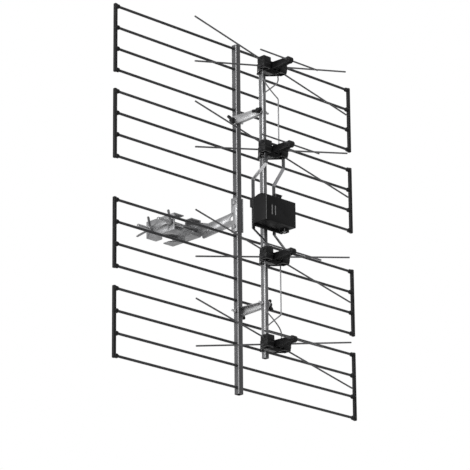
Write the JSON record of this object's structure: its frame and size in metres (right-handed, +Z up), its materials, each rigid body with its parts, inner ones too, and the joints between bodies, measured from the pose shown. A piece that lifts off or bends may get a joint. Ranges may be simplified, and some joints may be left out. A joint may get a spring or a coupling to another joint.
{
  "type": "outdoor uhf antenna",
  "caption": "Outdoor antenna with X dipoles in a row before a flat rod reflector, a junction box between them and a toothed V clamp behind for an upright tube.",
  "frame": {"origin": "on the axis of the tube space in the clamp, at half the height of the reflector", "axes": "+Z up along the tube, -Y the way the antenna faces, +X to the right seen from the front"},
  "size_m": [0.7526, 0.3979, 0.824],
  "materials": {
    "rod_metal": "dark grey semi-gloss coating",
    "tube_metal": "satin extruded tube",
    "strip_metal": "rolled strip and drawn wire",
    "black_plastic": "fine moulded texture",
    "clamp_metal": "zinc plated, pressed",
    "screw_metal": "zinc plated",
    "board": "glass fibre board"
  },
  "bodies": {
    "antenna": {"reflector_rod_01": "rod_metal", "reflector_rod_02": "rod_metal", "reflector_rod_03": "rod_metal", "reflector_rod_04": "rod_metal", "reflector_rod_05": "rod_metal", "reflector_rod_06": "rod_metal", "reflector_rod_07": "rod_metal", "reflector_rod_08": "rod_metal", "reflector_rod_09": "rod_metal", "reflector_rod_10": "rod_metal", "reflector_rod_11": "rod_metal", "reflector_rod_12": "rod_metal", "reflector_rod_13": "rod_metal", "reflector_rod_14": "rod_metal", "reflector_rod_15": "rod_metal", "reflector_rod_16": "rod_metal", "end_bar_left_1": "black_plastic", "end_bar_left_2": "black_plastic", "end_bar_left_3": "black_plastic", "end_bar_left_4": "black_plastic", "end_bar_right_1": "black_plastic", "end_bar_right_2": "black_plastic", "end_bar_right_3": "black_plastic", "end_bar_right_4": "black_plastic", "boom": "tube_metal", "carrier": "tube_metal", "insulator_1": "black_plastic", "insulator_2": "black_plastic", "insulator_3": "black_plastic", "insulator_4": "black_plastic", "dipole_left_1": "rod_metal", "dipole_left_2": "rod_metal", "dipole_left_3": "rod_metal", "dipole_left_4": "rod_metal", "dipole_right_1": "rod_metal", "dipole_right_2": "rod_metal", "dipole_right_3": "rod_metal", "dipole_right_4": "rod_metal", "director_1": "rod_metal", "director_2": "rod_metal", "director_3": "rod_metal", "director_4": "rod_metal", "phasing_wire_upper_a": "strip_metal", "phasing_wire_upper_b": "strip_metal", "phasing_wire_lower_a": "strip_metal", "phasing_wire_lower_b": "strip_metal", "feed_strip_left": "strip_metal", "feed_strip_right": "strip_metal", "box_cover": "black_plastic", "box_base": "black_plastic", "balun_board": "board", "standoff_upper": "clamp_metal", "standoff_lower": "clamp_metal", "clamp_arm": "clamp_metal", "inner_jaw": "clamp_metal", "clamp_bolt_front": "screw_metal", "clamp_bolt_rear": "screw_metal"},
    "clamp_jaw": {"outer_jaw": "clamp_metal", "wing_nut_front": "screw_metal", "wing_nut_rear": "screw_metal"}
  },
  "joints": [
    {"name": "jaw_slide", "type": "slide", "parent": "antenna", "child": "clamp_jaw", "axis": [-1, 0, 0], "range_m": [-0.018, 0.03]}
  ]
}
